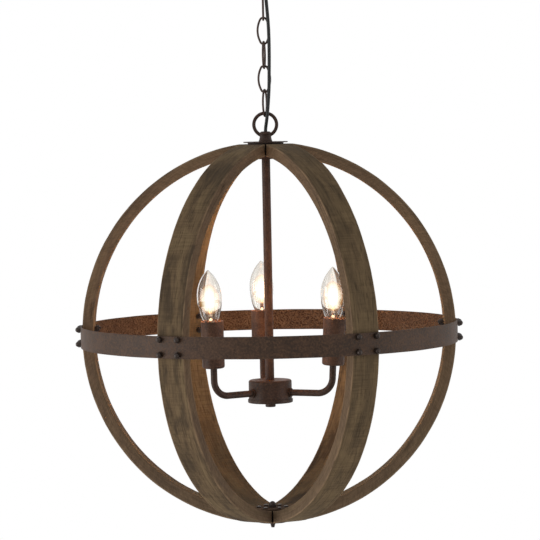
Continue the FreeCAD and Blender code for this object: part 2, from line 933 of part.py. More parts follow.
def lamp_filament():
    """The glass stem on the cap, with four lit sticks between two carriers."""
    foot = neck_height()
    low = foot + stem_height - carrier_thickness
    high = low + filament_length
    pieces = [
        cylinder(filament_foot_circle + filament_radius, low, low + carrier_thickness),
        cylinder(filament_head_circle + filament_radius, high, high + carrier_thickness),
        cylinder(filament_radius / 2, low, high + carrier_thickness),
    ]
    for number in range(filament_count):
        angle = 2 * math.pi * number / filament_count
        start = vector(
            filament_foot_circle * math.cos(angle), filament_foot_circle * math.sin(angle), low
        )
        end = vector(
            filament_head_circle * math.cos(angle), filament_head_circle * math.sin(angle), high
        )
        stick = Part.makeCylinder(filament_radius, (end - start).Length, start, end - start)
        pieces.append(stick)
    return cylinder(stem_radius, foot, low).multiFuse(pieces)


# ---- the whole object ----


def ceiling_nodes():
    return {
        "ceiling_bracket": [ceiling_bracket()],
        "canopy_nipple": [nipple()],
        "canopy_nuts": nipple_nuts(),
        "canopy_cup": [canopy_cup()],
        "canopy_loop": [canopy_loop()],
        "terminal_block": [terminal_block()],
        "rose_wiring": rose_wiring(),
        "flex_cord": [flex_cord()],
    }


def chain_nodes():
    return {
        f"chain_link_{number + 1}": [chain_link(centre, turn)]
        for number, (centre, turn) in enumerate(zip(link_centres, link_turns))
    }


def candle_nodes():
    nodes = {}
    for name, bearing, sleeve_lean, lamp_lean in candle_angles:
        at_sleeve = sleeve_place(name, bearing, sleeve_lean)
        at_lamp = lamp_place(name, bearing, sleeve_lean, lamp_lean)
        nodes[f"arm_{name}"] = [arm(name, bearing, sleeve_lean)]
        nodes[f"candle_sleeve_{name}"] = [placed(candle_sleeve(), at_sleeve)]
        nodes[f"lampholder_{name}"] = [placed(lampholder(), at_lamp)]
        nodes[f"lamp_cap_{name}"] = [placed(lamp_cap(), at_lamp)]
        nodes[f"lamp_glass_{name}"] = [placed(lamp_glass(), at_lamp)]
        nodes[f"lamp_filament_{name}"] = [placed(lamp_filament(), at_lamp)]
    return nodes


def globe_nodes():
    """Everything that hangs on the lowest link, in heights from the globe's centre."""
    disc, stud, inner_nut, cap_nut = bottom_parts()
    nodes = {
        "orb_loop": [orb_loop()],
        "top_cover_disc": [
            top_disc(cover_disc_radius, top_seat + clamp_disc_thickness, cover_disc_thickness)
        ],
        "top_clamp_disc": [top_disc(clamp_disc_radius, top_seat, clamp_disc_thickness)],
        "top_inner_plate": [inner_plate(rod_radius)],
        "bottom_inner_plate": [inner_plate(stud_radius).mirror(ORIGIN, Z_AXIS)],
        "plate_screws": plate_screws(),
        "equator_band": [equator_band()],
        "band_bolts": band_bolts(),
        "band_dome_nuts": band_dome_nuts(),
        "band_locknuts": band_locknuts(),
        "bottom_outer_disc": [disc],
        "bottom_stud": [stud],
        "bottom_dome_nut": [inner_nut],
        "bottom_cap_nut": [cap_nut],
        "centre_rod": [centre_rod()],
        "rod_nuts": rod_nuts(),
        "cluster_body": [cluster_body()],
        "cluster_base_plate": [cluster_base_plate()],
        "cluster_finial_screw": [cluster_finial_screw()],
        "arm_nuts": arm_nuts(),
        "lamp_wiring": lamp_wiring(),
        "wire_connectors": wire_connectors(),
    }
    for number, turn in enumerate(rib_turns):
        nodes[f"rib_{number + 1}"] = [turned(plain_rib(), turn)]
    nodes.update(candle_nodes())
    return {
        name: [shifted(solid, z=globe_centre) for solid in solids] for name, solids in nodes.items()
    }


def main():
    os.makedirs("parts", exist_ok=True)
    nodes = {**ceiling_nodes(), **chain_nodes(), **globe_nodes()}
    for name, solids in nodes.items():
        shape = solids[0] if len(solids) == 1 else Part.makeCompound(solids)
        shape.exportStep(f"parts/{name}.step")
    print("nodes:", len(nodes), "globe centre at", round(globe_centre, 2))


main()
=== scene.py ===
import contextlib
import math

import bmesh
import bpy
from mathutils import Matrix, Vector


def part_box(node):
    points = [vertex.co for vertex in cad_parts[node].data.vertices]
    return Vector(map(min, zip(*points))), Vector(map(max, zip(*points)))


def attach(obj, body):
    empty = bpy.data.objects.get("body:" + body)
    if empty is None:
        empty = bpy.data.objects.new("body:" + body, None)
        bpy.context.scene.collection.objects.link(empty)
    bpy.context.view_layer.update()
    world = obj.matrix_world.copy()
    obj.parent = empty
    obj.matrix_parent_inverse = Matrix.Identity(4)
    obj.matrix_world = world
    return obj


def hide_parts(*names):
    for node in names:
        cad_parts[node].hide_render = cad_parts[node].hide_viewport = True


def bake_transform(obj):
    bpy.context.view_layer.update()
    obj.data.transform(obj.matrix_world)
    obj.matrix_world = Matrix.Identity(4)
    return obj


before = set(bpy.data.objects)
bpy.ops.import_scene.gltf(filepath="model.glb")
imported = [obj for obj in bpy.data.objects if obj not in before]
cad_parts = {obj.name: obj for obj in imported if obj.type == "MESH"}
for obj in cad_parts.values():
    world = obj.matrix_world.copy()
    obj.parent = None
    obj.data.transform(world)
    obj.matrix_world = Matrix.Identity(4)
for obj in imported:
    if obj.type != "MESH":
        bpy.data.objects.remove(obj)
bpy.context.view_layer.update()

bl_info = {
    "name": "Orb chandelier",
    "version": (1, 0, 0),
    "blender": (4, 5, 0),
    "location": "3D View > Sidebar > Chandelier",
    "description": "Dresses an open wooden globe with three candle lamps in wood, rusty metal and lit glass",
    "category": "Add Mesh",
}

MM = 0.001
ORIGIN = (0, 0, 0)
TOUCH = 0.01 * MM  # points nearer than this lie on the same spot
CLOSE = 0.1 * MM  # points nearer than this to a face's place belong to it
band_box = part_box("equator_band")
BAND_DROP = 0.7 * MM  # the band's middle lies this far under the globe's centre
GLOBE = (band_box[0].z + band_box[1].z) / 2 + BAND_DROP  # the height of the globe's centre
RIB_STRAYS = (0.0, 0.0, -0.9, 0.0, 0.2, 0.2)  # of each rib from its even bearing, in degrees
RIB_COUNT = len(RIB_STRAYS)
RIB_PALENESS = (0.75, 0.2, 0.6, 0.35, 0.25, 0.6)  # how far each rib's colour is drawn towards the paler stain
CANDLES = ("right", "left", "back")
FLEX_ROUTE = (  # from the globe's hub up to the canopy's hub, heights from the globe's centre
    (0.0, 0.0, 0.276),
    (0.0, 0.0, 0.288),
    (0.0021, -0.0046, 0.3005),
    (0.0036, -0.0063, 0.312),
    (0.005, -0.0061, 0.327),
    (0.0065, -0.0056, 0.347),
    (0.007, -0.0052, 0.368),
    (0.0076, -0.0049, 0.392),
    (0.0077, -0.0051, 0.416),
    (0.0071, -0.0052, 0.438),
    (0.0057, -0.0056, 0.458),
    (0.0045, -0.0057, 0.4745),
    (0.0033, -0.0047, 0.486),
    (0.0, 0.0, 0.4975),
    (0.0, 0.0, 0.51),
)


# ---- colours and materials ----


def linear(code, alpha=1.0):
    """An sRGB hex colour as Blender's linear colour."""
    parts = [int(code[start : start + 2], 16) / 255 for start in (0, 2, 4)]
    return (*(p / 12.92 if p <= 0.04045 else ((p + 0.055) / 1.055) ** 2.4 for p in parts), alpha)


def colour_setting(name, description, code):
    return bpy.props.FloatVectorProperty(
        name=name, description=description, subtype="COLOR", size=4, min=0, max=1, default=linear(code)
    )


def length_setting(name, description, size):
    return bpy.props.FloatProperty(
        name=name, description=description, subtype="DISTANCE", unit="LENGTH", precision=4, default=size
    )


def angle_setting(name, description, degrees):
    return bpy.props.FloatProperty(
        name=name, description=description, subtype="ANGLE", unit="ROTATION", default=math.radians(degrees)
    )


def number_setting(name, description, value):
    return bpy.props.FloatProperty(name=name, description=description, min=0, precision=3, default=value)


class WoodSettings(bpy.types.PropertyGroup):
    body: colour_setting("Stain", "The wood's main colour", "63513D")
    grey: colour_setting("Weathering", "The greyer tone in patches", "392F27")
    pale: colour_setting("Rubbed stain", "Where the stain is rubbed thin", "77644A")
    streak: colour_setting("Grain lines", "The dark lines along the grain", "33291D")
    edge_wear: colour_setting("Worn edges", "The bare wood along the long edges", "8F765B")
    side: colour_setting("Planed sides", "The smoother, warmer sides of the ribs", "756050")
    width: length_setting("Width", "Width of a rib", 41.8 * MM)
    thickness: length_setting("Thickness", "Thickness of a rib", 16.8 * MM)
    radius: length_setting("Radius", "From the upright axis to a rib's outer face", 265.0 * MM)
    half_height: length_setting("Half height", "From the centre to the ribs' outer tips", 270.7 * MM)
    edge: length_setting("Edge rounding", "Rounding of the ribs' long edges", 0.9 * MM)
    unevenness: length_setting("Unevenness", "How far the cut faces wander", 0.9 * MM)


class MetalSettings(bpy.types.PropertyGroup):
    band: colour_setting("Band outside", "Brown patina on the band's outer face", "463327")
    band_pale: colour_setting("Band bloom", "Pale mottling on the band's outer face", "5F4735")
    rust: colour_setting("Band inside", "Rust on the band's inner face", "604B3A")
    rust_dark: colour_setting("Rust specks", "Dark specks in the rust", "2C1E15")
    brown: colour_setting("Rod and arms", "Rust brown paint of the rod, arms and discs", "3E2E27")
    brown_dark: colour_setting("Paint shade", "The darker tone of the rust brown paint", "30231C")
    iron: colour_setting("Bolts", "Blackened steel of the fasteners", "302520")
    band_thickness: length_setting("Band thickness", "Thickness of the steel band", 2.0 * MM)
    flex: colour_setting("Flex", "Sheath of the flex", "1C1F1E")


class LampSettings(bpy.types.PropertyGroup):
    glow: colour_setting("Light", "Colour of the lamps' light", "FFC28C")
    power: number_setting("Power", "Watts that each lamp sends into the scene", 0.78)
    stick: number_setting("Stick brightness", "How far the lit sticks are over white", 6.0)


class StageSettings(bpy.types.PropertyGroup):
    distance: length_setting("Distance", "From the camera to the globe's centre", 4.4603)
    elevation: angle_setting("Elevation", "How far the camera stands above the globe's centre", 4.304)
    turn: angle_setting("Turn", "How far the camera stands to the right", 0.659)
    roll: angle_setting("Roll", "How far the picture leans", 1.1)
    lens: bpy.props.FloatProperty(
        name="Lens", description="Focal length in millimetres on a 36 mm sensor", min=1, default=208.76
    )
    ambient: number_setting("Room light", "Brightness of the light from all round", 0.52)
    key: number_setting("Soft light", "Watts of the large soft light", 68.0)


def add_node(material, kind, inputs=None, stops=None, **settings):
    """Adds a shader node. inputs gives a socket's value, or the other node's output it is linked to."""
    made = material.node_tree.nodes.new("ShaderNode" + kind)
    for name, value in settings.items():
        setattr(made, name, value)
    for socket, value in (inputs or {}).items():
        if isinstance(value, bpy.types.NodeSocket):
            material.node_tree.links.new(value, made.inputs[socket])
        else:
            made.inputs[socket].default_value = value
    if stops:
        ramp = made.color_ramp.elements
        while len(ramp) < len(stops):
            ramp.new(1.0)
        for element, (place, colour) in zip(ramp, stops):
            element.position = place
            element.color = colour
    return made


BLACK = (0, 0, 0, 1)
WHITE = (1, 1, 1, 1)
MIX_A, MIX_B, MIX_RESULT = 6, 7, 2  # the Mix node's colour sockets
RELIEF = 0.2 * MM  # the depth of grain, pits and specks
GLARE_STRENGTH = 1.5  # a little over white, because the glass in front of it takes some away


def new_material(name):
    """A material with an empty tree."""
    material = bpy.data.materials.new(name)
    material.use_nodes = True
    material.node_tree.nodes.clear()
    return material


def finished(material, shader):
    add_node(material, "OutputMaterial", {"Surface": shader.outputs[0]})
    return material


def pattern(material, place, size, stops, detail=3.0, distortion=0.0, slant=0.0):
    """The tones of a noise whose blotches have a size in metres: along, across and through the piece.
    slant turns it in the plane of along and through."""
    at = add_node(
        material,
        "Mapping",
        {"Vector": place, "Rotation": (0, slant, 0), "Scale": size},
        vector_type="TEXTURE",
    )
    noise = add_node(
        material,
        "TexNoise",
        {"Vector": at.outputs[0], "Scale": 1.0, "Detail": detail, "Roughness": 0.6, "Distortion": distortion},
    )
    return add_node(material, "ValToRGB", {"Fac": noise.outputs["Fac"]}, stops=stops).outputs[0]


def layered(material, tone, layers):
    """Lays colours over a tone, each where its masks are white and as strong as its share."""
    for masks, strength, colour in layers:
        for mask in masks:
            both = add_node(material, "Math", {0: mask, 1: strength}, operation="MULTIPLY")
            strength = both.outputs[0]
        mixed = add_node(material, "Mix", {0: strength, MIX_A: tone, MIX_B: colour}, data_type="RGBA")
        tone = mixed.outputs[MIX_RESULT]
    return tone


def wood_material():
    """Sawn and bent hardwood under a rubbed brown stain. Matt, greyer in patches, with short dark
    strands and a few long cracks along the grain, faint marks of the saw across the broad faces,
    smoother sides and pale, worn edges."""
    wood = bpy.context.scene.chandelier_wood
    material = new_material("sawn_stained_hardwood")
    grain = add_node(material, "Attribute", attribute_name="grain").outputs["Vector"]
    faces = add_node(material, "Attribute", attribute_name="faces").outputs["Vector"]
    side, edge, paleness = add_node(material, "SeparateXYZ", {0: faces}).outputs
    broad = add_node(material, "Math", {0: 1.0, 1: side}, operation="SUBTRACT").outputs[0]
    worn = add_node(
        material, "MapRange", {"Value": edge, 1: 0.45, 2: 0.95}, interpolation_type="SMOOTHSTEP"
    ).outputs[0]

    def across_grain(size, stops, **settings):
        return pattern(material, grain, [length * MM for length in size], stops, **settings)

    dark_half = [(0.38, WHITE), (0.56, BLACK)]
    patches = across_grain(
        (75, 24, 24), [(0.41, wood.grey), (0.52, wood.body), (0.63, wood.pale)], detail=4.0, distortion=0.5
    )
    bands = across_grain((170, 6, 6), [(0.44, BLACK), (0.66, WHITE)], distortion=0.8)
    streaks = across_grain((130, 4.5, 4.5), dark_half, distortion=0.4)
    strands = across_grain((20, 2.2, 2.2), [(0.36, WHITE), (0.46, BLACK)], distortion=0.3)
    # the real pores are a third as wide, and are drawn as coarse as shows
    pores = across_grain((30, 1.4, 1.4), dark_half, detail=2.0)
    saw = across_grain((2.2, 42, 42), dark_half, detail=2.0)
    saw_where = across_grain((60, 30, 30), [(0.38, BLACK), (0.52, WHITE)])
    slanting = across_grain((2.0, 50, 9), dark_half, detail=2.0, slant=math.radians(38))
    crack = across_grain(
        (320, 15, 15), [(0.484, BLACK), (0.5, WHITE), (0.516, BLACK)], detail=1.0, distortion=0.2
    )
    crack_where = across_grain((110, 34, 34), [(0.56, BLACK), (0.62, WHITE)], detail=1.0)
    wear_where = across_grain((28, 8, 8), [(0.34, BLACK), (0.6, WHITE)])
    tone = layered(
        material,
        patches,
        [
            ([paleness], 0.8, wood.pale),
            ([side], 0.5, wood.side),
            ([bands], 0.3, wood.pale),
            ([streaks], 0.15, wood.streak),
            ([pores], 0.22, wood.streak),
            ([strands, broad], 0.42, wood.streak),
            ([strands, side], 0.2, wood.streak),
            ([saw, saw_where, broad], 0.27, wood.streak),
            ([slanting, side], 0.24, wood.streak),
            ([worn, wear_where], 0.7, wood.edge_wear),
            ([crack, crack_where], 0.75, wood.streak),
        ],
    )
    hollows = layered(
        material, BLACK, [([saw, broad], 0.5, WHITE), ([strands], 0.5, WHITE), ([crack], 1.0, WHITE)]
    )
    bump = add_node(material, "Bump", {"Height": hollows, "Strength": 0.3, "Distance": RELIEF}, invert=True)
    shader = add_node(
        material,
        "BsdfPrincipled",
        {"Base Color": tone, "Roughness": 0.85, "Specular IOR Level": 0.12, "Normal": bump.outputs[0]},
    )
    return finished(material, shader)


def mottled(name, tones, sizes, roughness, gloss, shares=(0.5, 0.4), metallic=0.0, depth=0.3, dotted=0.36):
    """A blotchy surface. tones are its body, the shade that clouds it, the bloom that lightens it in a
    fine mottle and the specks that dot it, which are denser the higher dotted is. sizes are those of the
    clouds, the mottle and the specks."""
    material = new_material(name)
    place = add_node(material, "TexCoord").outputs["Object"]
    body, shade, bloom, speck = (tone if not isinstance(tone, str) else linear(tone) for tone in tones)
    looks = (
        ([(0.38, shade), (0.6, body)], 4.0),
        ([(0.44, BLACK), (0.68, WHITE)], 3.0),
        ([(dotted, WHITE), (dotted + 0.09, BLACK)], 2.0),
    )
    clouds, mottle, specks = (
        pattern(material, place, [size * MM] * 3, *look) for size, look in zip(sizes, looks)
    )
    tone = layered(material, clouds, [([mottle], shares[0], bloom), ([specks], shares[1], speck)])
    dullness = add_node(material, "MapRange", {"Value": mottle, 3: roughness - 0.07, 4: roughness + 0.07})
    relief = add_node(material, "Math", {0: mottle, 1: specks}, operation="SUBTRACT")
    bump = add_node(material, "Bump", {"Height": relief.outputs[0], "Strength": depth, "Distance": RELIEF})
    shader = add_node(
        material,
        "BsdfPrincipled",
        {
            "Base Color": tone,
            "Roughness": dullness.outputs[0],
            "Metallic": metallic,
            "Specular IOR Level": gloss,
            "Normal": bump.outputs[0],
        },
    )
    return finished(material, shader)


def metal_materials():
    metal = bpy.context.scene.chandelier_metal
    paint = (metal.brown, metal.brown_dark)
    return {
        # hot-rolled strip under a brown patina: dull, with a fine pale and dark mottle
        "band_outside": mottled(
            "patinated_steel_strip",
            (metal.band, "372920", metal.band_pale, "2A1E17"),
            (24, 3.0, 2.4),
            0.6,
            0.2,
            shares=(0.6, 0.55),
        ),
        # the same strip's rusted inner face: orange brown, rough, thick with dark specks
        "band_inside": mottled(
            "rusted_steel_strip",
            (metal.rust, "4D3B2E", "785C46", metal.rust_dark),
            (26, 2.4, 1.8),
            0.8,
            0.1,
            shares=(0.55, 0.95),
            dotted=0.42,
        ),
        # steel tube and spun steel in a rust brown powder coat: an even satin with a fine mottle
        "brown": mottled("rust_brown_powder_coat", (*paint, "5C4434", "231812"), (20, 2.4, 1.9), 0.46, 0.15),
        # the same coat left matt, and paler, on the plates at the ribs' tips
        "plate": mottled(
            "matt_powder_coat", ("56473B", "41352C", "685647", "2A1F19"), (20, 2.4, 1.9), 0.8, 0.02
        ),
        # the same coat on the candle sleeves, drawn paler and warmer as painted lamplight from the lamps
        # above them
        "sleeve": mottled(
            "baked_powder_coat", ("523A2C", "3B2A21", "6D4F3E", "2A1D16"), (20, 2.4, 1.9), 0.5, 0.15
        ),
        # bent steel wire with the same coat, in darker clouds
        "chain": mottled(
            "coated_steel_wire", (metal.brown, "2F211A", "664B3A", "261A14"), (9, 2.0, 1.4), 0.4, 0.28
        ),
        # blackened steel bolts and nuts: near black, with an oily sheen and a fine brown mottle
        "iron": mottled(
            "blackened_steel",
            (metal.iron, "211916", "504036", "191310"),
            (6, 1.8, 1.3),
            0.36,
            0.5,
            shares=(0.45, 0.3),
            metallic=0.5,
            depth=0.2,
        ),
        # zinc plate on stamped steel: pale grey, with dull and bright grains
        "zinc": mottled(
            "zinc_plated_steel",
            ("A9ABAD", "8E9193", "C4C6C8", "7B7E80"),
            (8, 1.6, 1.0),
            0.36,
            0.5,
            shares=(0.5, 0.2),
            metallic=1.0,
            depth=0.1,
        ),
        # nickel plate on the lamps' brass caps: bright, faintly yellow
        "nickel": mottled(
            "nickel_plated_brass",
            ("B9B2A4", "A69E8E", "CFCABF", "8C8474"),
            (6, 1.2, 0.8),
            0.26,
            0.5,
            shares=(0.4, 0.15),
            metallic=1.0,
            depth=0.08,
        ),
        # soft PVC round the flex: black, with the satin of extruded plastic
        "flex": mottled(
            "extruded_pvc", (metal.flex, "151716", "282B2A", "111312"), (12, 1.4, 0.9), 0.42, 0.25, depth=0.1
        ),
        # glazed steatite lampholders: off white, glassy, with a few grey pores
        "ceramic": mottled(
            "glazed_steatite",
            ("D9D3C6", "CFC8BA", "E3DED3", "B9B1A2"),
            (14, 2.4, 1.1),
            0.24,
            0.5,
            shares=(0.4, 0.1),
            depth=0.06,
        ),
        # moulded polyamide terminal block: milky, dull
        "plastic": mottled(
            "moulded_polyamide",
            ("D6D6CE", "CBCBC2", "E0E0D9", "C2C2B8"),
            (9, 1.6, 0.9),
            0.45,
            0.4,
            shares=(0.4, 0.1),
            depth=0.06,
        ),
    }


def clear_to_lamplight(material, shader, share=1.0):
    """Lets the lamp's light through a lit or glass piece. share is the strength of its own look."""
    clear = add_node(material, "BsdfTransparent").outputs[0]
    shadow = add_node(material, "LightPath").outputs["Is Shadow Ray"]
    own = add_node(material, "Math", {0: 1.0, 1: shadow}, operation="SUBTRACT")
    own = add_node(material, "Math", {0: own.outputs[0], 1: share}, operation="MULTIPLY")
    both = add_node(material, "MixShader", {0: own.outputs[0], 1: clear, 2: shader.outputs[0]})
    return finished(material, both)


def glass_material(name, tint):
    """Blown soda-lime glass, clear. It bends what is behind it a little and lets the light out."""
    material = new_material(name)
    place = add_node(material, "TexCoord").outputs["Object"]
    # faint cords left by the blowing, 9 mm wide
    cords = pattern(material, place, [9 * MM] * 3, [(0.3, linear(tint)), (0.7, linear("F6F4F0"))], detail=1.0)
    glass = add_node(
        material,
        "BsdfPrincipled",
        {"Base Color": cords, "Roughness": 0.0, "IOR": 1.5, "Transmission Weight": 1.0},
    )
    return clear_to_lamplight(material, glass)


def lit_material(name, cool, warm, strength):
    """A surface that glows, warmer in small grains, as a hot coat of phosphor does. On the sticks this is the
    lamps' own light; on the wires and the seal, which are no lamps, it is painted lamplight.
    """
    material = new_material(name)
    place = add_node(material, "TexCoord").outputs["Object"]
    grains = pattern(material, place, [1.5 * MM] * 3, [(0.35, linear(warm)), (0.6, linear(cool))], detail=1.0)
    shader = add_node(
        material,
        "BsdfPrincipled",
        {"Base Color": grains, "Roughness": 0.6, "Emission Color": grains, "Emission Strength": strength},
    )
    return finished(material, shader)


def glare_material():
    """The glare round the lit sticks: white in its middle, thinning out through yellow to orange."""
    material = new_material("glare_of_lit_sticks")
    facing = add_node(material, "LayerWeight", {"Blend": 0.5}).outputs["Facing"]
    tones = [(0.1, "FFFCF2"), (0.28, "FFEBC8"), (0.42, "FFCF92"), (0.6, "FFA858")]
    tone = add_node(
        material, "ValToRGB", {"Fac": facing}, stops=[(place, linear(code)) for place, code in tones]
    )
    # the share of what lies behind that one wall of the glare hides, from its middle to its rim
    cover = [(0.0, 0.86), (0.06, 0.76), (0.14, 0.5), (0.26, 0.29), (0.42, 0.15), (0.7, 0.04), (1.0, 0.0)]
    hidden = add_node(
        material,
        "ValToRGB",
        {"Fac": facing},
        stops=[(place, (share, share, share, 1)) for place, share in cover],
    )
    light = add_node(material, "Emission", {"Color": tone.outputs[0], "Strength": GLARE_STRENGTH})
    return clear_to_lamplight(material, light, hidden.outputs[0])


# ---- modelling ----


def deselect():
    for piece in bpy.context.selected_objects:
        piece.select_set(False)
    bpy.context.view_layer.objects.active = None


def activate(piece):
    deselect()
    piece.select_set(True)
    bpy.context.view_layer.objects.active = piece


def primitive(kind, name, scale=(1, 1, 1), **settings):
    """Adds one of Blender's meshes at its size and place, and puts the place in its mesh."""
    deselect()
    getattr(bpy.ops.mesh, f"primitive_{kind}_add")(**settings)
    piece = bpy.context.active_object
    piece.name = piece.data.name = name
    piece.scale = scale
    bpy.ops.object.transform_apply(location=True, rotation=True, scale=True)
    return piece


@contextlib.contextmanager
def editing(piece, kind="VERT"):
    """Edit mode on one piece, with everything selected at the start."""
    activate(piece)
    bpy.ops.object.mode_set(mode="EDIT")
    bpy.ops.mesh.select_mode(type=kind)
    bpy.ops.mesh.select_all(action="SELECT")
    yield
    bpy.ops.object.mode_set(mode="OBJECT")


def pick(piece, kind, test):
    """Selects, in edit mode, the vertices, edges or faces whose middle and direction pass a test."""
    bpy.ops.mesh.select_mode(type=kind)
    bpy.ops.mesh.select_all(action="DESELECT")
    shape = bmesh.from_edit_mesh(piece.data)
    shape.normal_update()
    if kind == "VERT":
        for corner in shape.verts:
            corner.select = test(corner.co)
    elif kind == "EDGE":
        for edge in shape.edges:
            edge.select = all(test(corner.co) for corner in edge.verts)
    else:
        for face in shape.faces:
            face.select = test(face.calc_center_median(), face.normal)
    shape.select_flush_mode()
    bmesh.update_edit_mesh(piece.data)


def applied(piece, kind, name, **settings):
    """Adds a modifier with its settings and applies it."""
    activate(piece)
    modifier = piece.modifiers.new(name, kind)
    for setting, value in settings.items():
        setattr(modifier, setting, value)
    bpy.ops.object.modifier_apply(modifier=modifier.name)


def copied(piece, name, matrix):
    """A copy with its own mesh, moved within it."""
    copy = piece.copy()
    copy.data = piece.data.copy()
    copy.name = copy.data.name = name
    bpy.context.scene.collection.objects.link(copy)
    copy.data.transform(matrix)
    return copy


def smooth(piece, degrees=60):
    """Shades a piece as round, but for the edges that bend more than this."""
    activate(piece)
    bpy.ops.object.shade_smooth_by_angle(angle=math.radians(degrees))


def dressed(piece, materials, body=None, nodes=()):
    """Gives a finished piece its materials, its body and the nodes it replaces."""
    piece.data.materials.clear()
    for material in materials:
        piece.data.materials.append(material)
    if body:
        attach(piece, body)
    if nodes:
        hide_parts(*nodes)
    return piece


# ---- wooden ribs ----

RIB_STEPS = 300  # cross-sections over half a turn, 2.8 mm apart
RIB_STRIPS = 14  # faces across a rib
RIB_LAYERS = 5  # faces through a rib's thickness
TOP_SEAT = 267.9 * MM  # where the ribs' tips are cut flat, from the globe's centre
BOTTOM_SEAT = -269.7 * MM
RIB_SEAM = 2.0 * MM  # between the mitred tips of two ribs
ROD_ROOM = 6.2 * MM  # cut away round the axis at the top, for the rod
BOARD_SHIFT = 1.7  # metres of grain from one rib's board to the next
WAVE_SIZE = 55 * MM  # of the hand-cut waves in the ribs' faces
NICK_SIZE = 7 * MM  # of the saw's chatter
NICK_SHARE = 0.25  # of the waves' height
WAVE_MIDDLE = 0.55  # the tone of the waves at which a face stays in place


def rib_blank():
    """One rib along +X round the origin: its cross-section spun over half a turn, drawn out to the
    oval, mitred against its neighbours and cut flat where the discs lie on its tips."""
    wood = bpy.context.scene.chandelier_wood
    rib = primitive(
        "grid",
        "rib",
        x_subdivisions=RIB_LAYERS,
        y_subdivisions=RIB_STRIPS,
        size=1,
        location=(0, 0, wood.radius - wood.thickness / 2),
        rotation=(0, math.pi / 2, 0),
        scale=(wood.thickness, wood.width, 1),
    )
    with editing(rib):
        bpy.ops.mesh.spin(steps=RIB_STEPS, angle=math.pi, center=ORIGIN, axis=(0, -1, 0))
        bpy.ops.mesh.select_all(action="SELECT")
        bpy.ops.mesh.remove_doubles(threshold=TOUCH)
        for layer in range(RIB_LAYERS + 1):
            radius = wood.radius - wood.thickness * layer / RIB_LAYERS
            stretch = (radius + wood.half_height - wood.radius) / radius
            pick(rib, "VERT", lambda place, r=radius: abs(math.hypot(place.x, place.z) - r) < CLOSE)
            bpy.ops.transform.resize(value=(1, 1, stretch), center_override=ORIGIN)
        bpy.ops.mesh.select_all(action="SELECT")
        bpy.ops.mesh.normals_make_consistent(inside=False)
        tip = RIB_SEAM / 2 / math.sin(math.pi / RIB_COUNT)
        slope = math.pi / RIB_COUNT
        cuts = [((tip, 0, 0), (-math.sin(slope), side * math.cos(slope), 0)) for side in (-1, 1)]
        cuts += [((0, 0, TOP_SEAT), (0, 0, 1)), ((0, 0, BOTTOM_SEAT), (0, 0, -1))]
        for point, outward in cuts:
            bpy.ops.mesh.select_all(action="SELECT")
            bpy.ops.mesh.bisect(plane_co=point, plane_no=outward, use_fill=True, clear_outer=True)
        pick(rib, "VERT", lambda place: place.z > 0)
        bpy.ops.mesh.bisect(plane_co=(ROD_ROOM, 0, 0), plane_no=(-1, 0, 0), use_fill=True, clear_outer=True)
        bpy.ops.mesh.select_all(action="SELECT")
        bpy.ops.mesh.normals_make_consistent(inside=False)
    return rib


def mark_grain(rib, number):
    """Writes each point's place along, across and through the board, so that the grain follows the
    bend, whether it lies on a side or on a long edge, and how pale its board is."""
    wood = bpy.context.scene.chandelier_wood
    grain_values = []
    face_values = []
    for corner in rib.data.vertices:
        x, y, z = corner.co
        radius = math.hypot(x, z * wood.radius / wood.half_height)
        outermost = abs(radius - wood.radius + wood.thickness / 2) > wood.thickness / 2 - wood.edge * 1.05
        side = abs(y) > wood.width / 2 - wood.edge / 3
        edge = outermost and abs(y) > wood.width / 2 - wood.edge * 1.05
        grain_values += [math.atan2(x, z) * wood.radius + number * BOARD_SHIFT, y, radius]
        face_values += [side, edge, RIB_PALENESS[number]]
    for name, values in (("grain", grain_values), ("faces", face_values)):
        marks = rib.data.attributes.new(name, "FLOAT_VECTOR", "POINT")
        marks.data.foreach_set("vector", values)


class CHANDELIER_OT_ribs(bpy.types.Operator):
    """Models the six bent ribs of sawn wood"""

    bl_idname = "chandelier.ribs"
    bl_label = "Wooden ribs"

    def execute(self, context):
        wood = context.scene.chandelier_wood
        material = wood_material()
        blank = rib_blank()
        with editing(blank):

            def on_long_edge(place):
                radius = math.hypot(place.x, place.z * wood.radius / wood.half_height)
                from_middle = abs(radius - wood.radius + wood.thickness / 2)
                on_side = abs(place.y) > wood.width / 2 - CLOSE / 2
                return on_side and from_middle > wood.thickness * 0.45

            pick(blank, "EDGE", on_long_edge)
            bpy.ops.mesh.bevel(offset=wood.edge, segments=2, profile=0.5, affect="EDGES")
        waves = bpy.data.textures.new("hand_cut_waves", "CLOUDS")
        waves.noise_scale = WAVE_SIZE
        nicks = bpy.data.textures.new("saw_chatter", "CLOUDS")
        nicks.noise_scale = NICK_SIZE
        for number, stray in enumerate(RIB_STRAYS):
            rib = copied(blank, f"wood_rib_{number + 1}", Matrix())
            mark_grain(rib, number)
            turn = Matrix.Rotation(math.tau * number / RIB_COUNT + math.radians(stray), 4, "Z")
            rib.data.transform(Matrix.Translation((0, 0, GLOBE)) @ turn)
            for texture, strength in ((waves, wood.unevenness), (nicks, wood.unevenness * NICK_SHARE)):
                applied(
                    rib,
                    "DISPLACE",
                    "unevenness",
                    texture=texture,
                    texture_coords="LOCAL",
                    strength=strength,
                    mid_level=WAVE_MIDDLE,
                )
            smooth(rib, 40)
            dressed(rib, [material], "globe", [f"rib_{number + 1}"])
        bpy.data.objects.remove(blank)
        return {"FINISHED"}


# ---- steel band ----

BAND_STEPS = 360
BAND_ROWS = 6
BAND_EDGE = 0.35 * MM
BAND_WAVE = 0.5 * MM  # how far its edges wander up and down
BAND_WAVE_SIZE = 48 * MM


